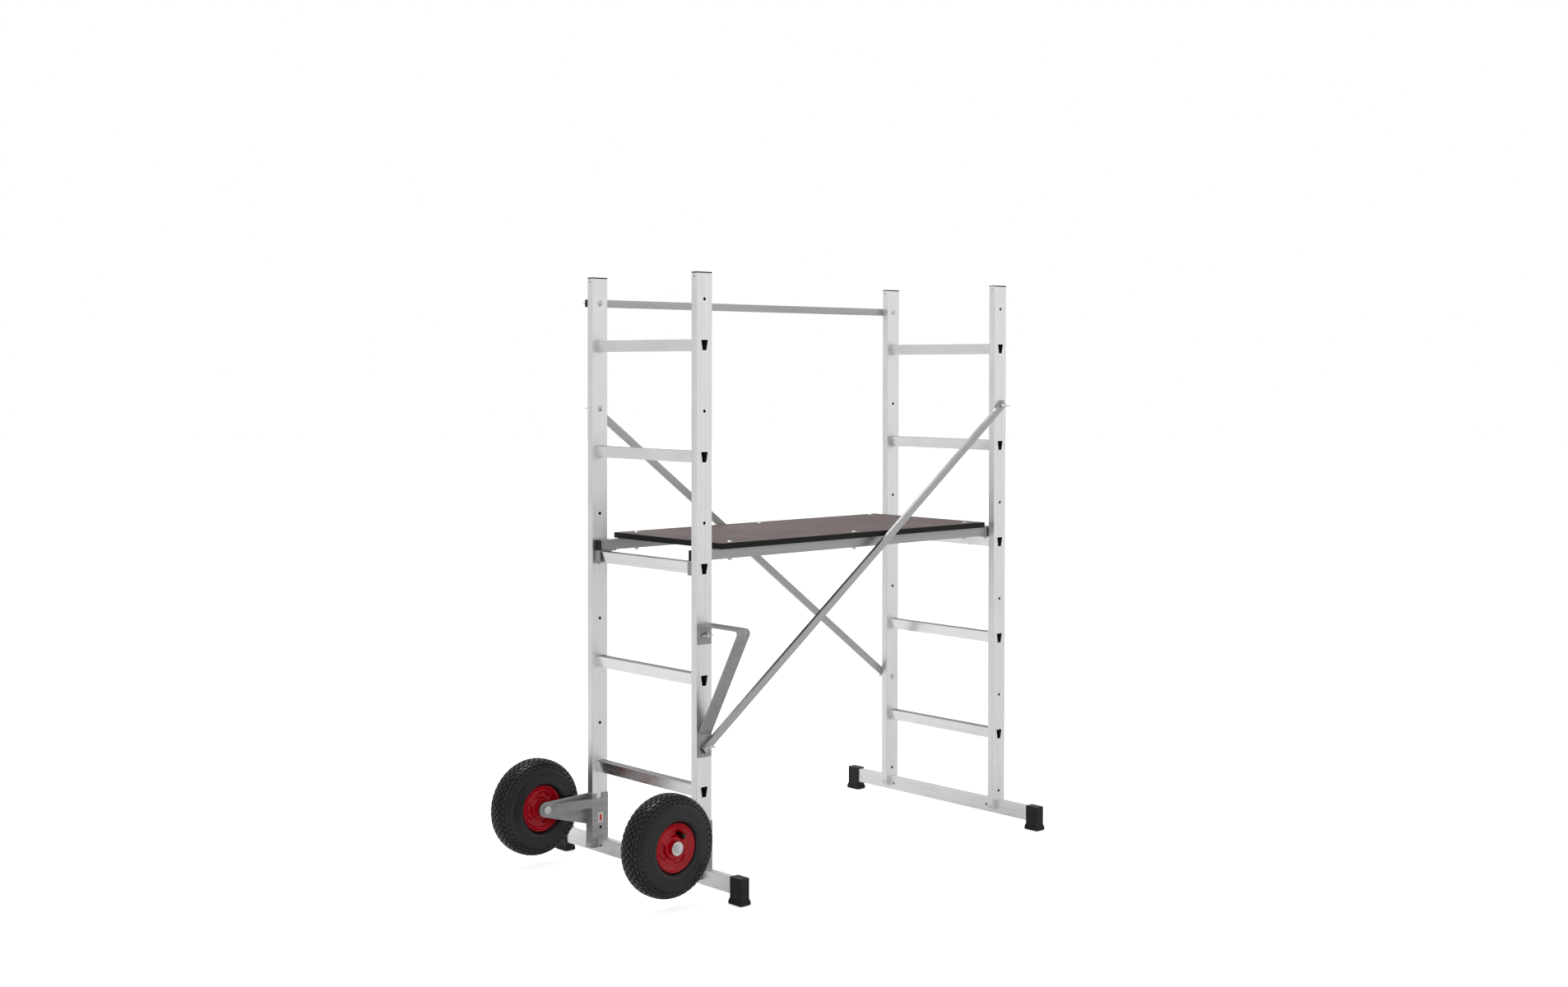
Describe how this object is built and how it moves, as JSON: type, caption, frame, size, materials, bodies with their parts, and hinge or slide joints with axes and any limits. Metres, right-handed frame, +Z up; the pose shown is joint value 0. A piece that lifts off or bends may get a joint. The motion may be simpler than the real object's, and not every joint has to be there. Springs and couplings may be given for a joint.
{
  "type": "mobile frame scaffold",
  "caption": "Small rolling frame scaffold: two rung ladders joined by a deck, a guard rail and cross braces, with air wheels and a push handle.",
  "frame": {"origin": "floor level, under the middle of the overall box", "axes": "+Z up; +X from the ladder with the wheels to the plain ladder; +Y from the push-handle side to the guard-rail side"},
  "size_m": [1.436, 0.769, 1.558],
  "materials": {
    "stile_aluminium": "satin mill finish, drawn along the tube",
    "rung_aluminium": "bright drawn finish with a grooved tread",
    "crossbar_aluminium": "satin mill finish",
    "brace_aluminium": "satin mill finish",
    "rail_aluminium": "satin mill finish",
    "bracket_steel": "grey zinc primer, satin",
    "zinc_fasteners": "bright zinc plate",
    "zinc_wing_nut": "bright zinc plate",
    "black_plastic": "fine grain",
    "foot_rubber": "matt, slightly dusty",
    "tyre_rubber": "matt rubber with a block tread",
    "tube_rubber": "smooth",
    "valve_rubber": "smooth",
    "red_enamel": "glossy enamel",
    "bearing_steel": "ground steel",
    "deck_film_board": "brown phenolic film with a mesh grip pattern"
  },
  "bodies": {
    "frame": {"stile_left_near": "stile_aluminium", "stile_left_far": "stile_aluminium", "stile_right_near": "stile_aluminium", "stile_right_far": "stile_aluminium", "rung_left_1": "rung_aluminium", "rung_left_2": "rung_aluminium", "rung_left_3": "rung_aluminium", "rung_left_4": "rung_aluminium", "rung_left_5": "rung_aluminium", "rung_right_1": "rung_aluminium", "rung_right_2": "rung_aluminium", "rung_right_3": "rung_aluminium", "rung_right_4": "rung_aluminium", "rung_right_5": "rung_aluminium", "crossbar_left": "crossbar_aluminium", "crossbar_right": "crossbar_aluminium", "front_brace": "brace_aluminium", "rear_brace": "brace_aluminium", "guard_rail": "brace_aluminium", "wheel_bracket_near": "bracket_steel", "wheel_bracket_far": "bracket_steel", "push_handle": "bracket_steel", "frame_bolts": "zinc_fasteners", "crossbar_rivets": "zinc_fasteners", "axle_bolts": "zinc_fasteners", "axle_washers": "zinc_fasteners", "axle_nuts": "zinc_fasteners", "axle_spacers": "zinc_fasteners", "stile_end_caps": "black_plastic", "guard_rail_plugs": "black_plastic", "foot_left_near": "foot_rubber", "foot_left_far": "foot_rubber", "foot_right_near": "foot_rubber", "foot_right_far": "foot_rubber"},
    "deck": {"deck_board": "deck_film_board", "deck_rail_near": "rail_aluminium", "deck_rail_far": "rail_aluminium", "deck_rail_plugs": "black_plastic", "rung_hooks": "bracket_steel", "deck_bolts": "zinc_fasteners", "deck_nuts": "zinc_fasteners"},
    "wheel_near": {"tyre_near": "tyre_rubber", "inner_tube_near": "tube_rubber", "rim_near": "red_enamel", "hub_near": "red_enamel", "bearings_near": "bearing_steel", "valve_near": "valve_rubber"},
    "wheel_far": {"tyre_far": "tyre_rubber", "inner_tube_far": "tube_rubber", "rim_far": "red_enamel", "hub_far": "red_enamel", "bearings_far": "bearing_steel", "valve_far": "valve_rubber"},
    "nut_guard_left": {"wing_nut_guard_left": "zinc_wing_nut"},
    "nut_guard_right": {"wing_nut_guard_right": "zinc_wing_nut"},
    "nut_rear_brace_top": {"wing_nut_rear_brace_top": "zinc_wing_nut"},
    "nut_rear_brace_foot": {"wing_nut_rear_brace_foot": "zinc_wing_nut"},
    "nut_front_brace_top": {"wing_nut_front_brace_top": "zinc_wing_nut"},
    "nut_front_brace_foot": {"wing_nut_front_brace_foot": "zinc_wing_nut"},
    "nut_handle": {"wing_nut_handle": "zinc_wing_nut"}
  },
  "joints": [
    {"name": "deck_lift", "type": "slide", "parent": "frame", "child": "deck", "axis": [0, 0, 1], "range_m": [0, 0.2]},
    {"name": "wheel_near_spin", "type": "hinge", "parent": "frame", "child": "wheel_near", "pos_m": [-0.591, -0.277, 0.157], "axis": [0, 1, 0], "continuous": true},
    {"name": "wheel_far_spin", "type": "hinge", "parent": "frame", "child": "wheel_far", "pos_m": [-0.591, 0.277, 0.157], "axis": [0, 1, 0], "continuous": true},
    {"name": "nut_guard_left_turn", "type": "hinge", "parent": "frame", "child": "nut_guard_left", "pos_m": [-0.431, 0.246, 1.49], "axis": [0, 1, 0], "continuous": true},
    {"name": "nut_guard_right_turn", "type": "hinge", "parent": "frame", "child": "nut_guard_right", "pos_m": [0.691, 0.246, 1.49], "axis": [0, 1, 0], "continuous": true},
    {"name": "nut_rear_brace_top_turn", "type": "hinge", "parent": "frame", "child": "nut_rear_brace_top", "pos_m": [-0.431, 0.2361, 1.21], "axis": [0, 1, 0], "continuous": true},
    {"name": "nut_rear_brace_foot_turn", "type": "hinge", "parent": "frame", "child": "nut_rear_brace_foot", "pos_m": [0.691, 0.2361, 0.37], "axis": [0, 1, 0], "continuous": true},
    {"name": "nut_front_brace_top_turn", "type": "hinge", "parent": "frame", "child": "nut_front_brace_top", "pos_m": [0.691, -0.2362, 1.21], "axis": [0, -1, 0], "continuous": true},
    {"name": "nut_front_brace_foot_turn", "type": "hinge", "parent": "frame", "child": "nut_front_brace_foot", "pos_m": [-0.431, -0.2412, 0.37], "axis": [0, -1, 0], "continuous": true},
    {"name": "nut_handle_turn", "type": "hinge", "parent": "frame", "child": "nut_handle", "pos_m": [-0.431, -0.231, 0.65], "axis": [0, -1, 0], "continuous": true}
  ]
}
